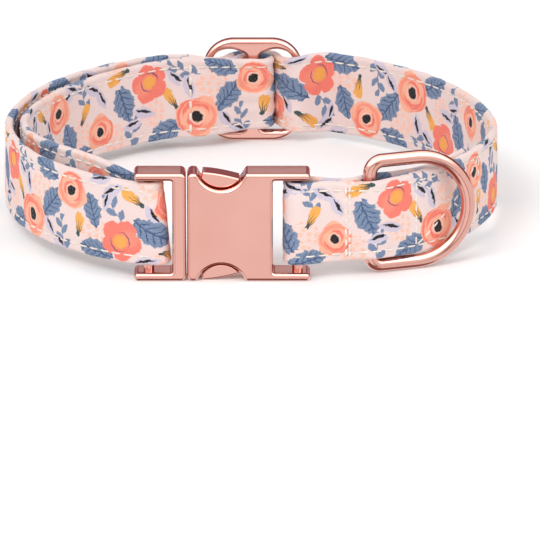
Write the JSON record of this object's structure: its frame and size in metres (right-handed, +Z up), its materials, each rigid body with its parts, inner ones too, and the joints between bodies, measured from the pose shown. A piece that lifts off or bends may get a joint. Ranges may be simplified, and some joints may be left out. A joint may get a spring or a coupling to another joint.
{
  "type": "pet collar",
  "caption": "Fastened printed-fabric pet collar standing on its edge, with a metal side-release buckle, a D-ring for a lead and a three-bar slider.",
  "frame": {"origin": "middle of the collar's outline seen from above, on the surface it stands on", "axes": "+Z up along the width of the strap, -Y towards the buckle, +Y towards the slider, +X towards the D-ring"},
  "size_m": [0.1422, 0.1384, 0.0351],
  "materials": {
    "printed_cotton": "matte woven cotton, floral print",
    "rose_gold": "polished, with satin flat fronts"
  },
  "bodies": {
    "collar": {"strap": "printed_cotton", "buckle_plug": "rose_gold", "buckle_socket": "rose_gold", "release_button_top": "rose_gold", "release_button_bottom": "rose_gold", "slider": "rose_gold"},
    "d_ring": {"d_ring": "rose_gold"}
  },
  "joints": [
    {"name": "d_ring_swing", "type": "hinge", "parent": "collar", "child": "d_ring", "pos_m": [0.03376, -0.0611, 0.0176], "axis": [0, 0, -1], "range_deg": [0, 150]}
  ]
}
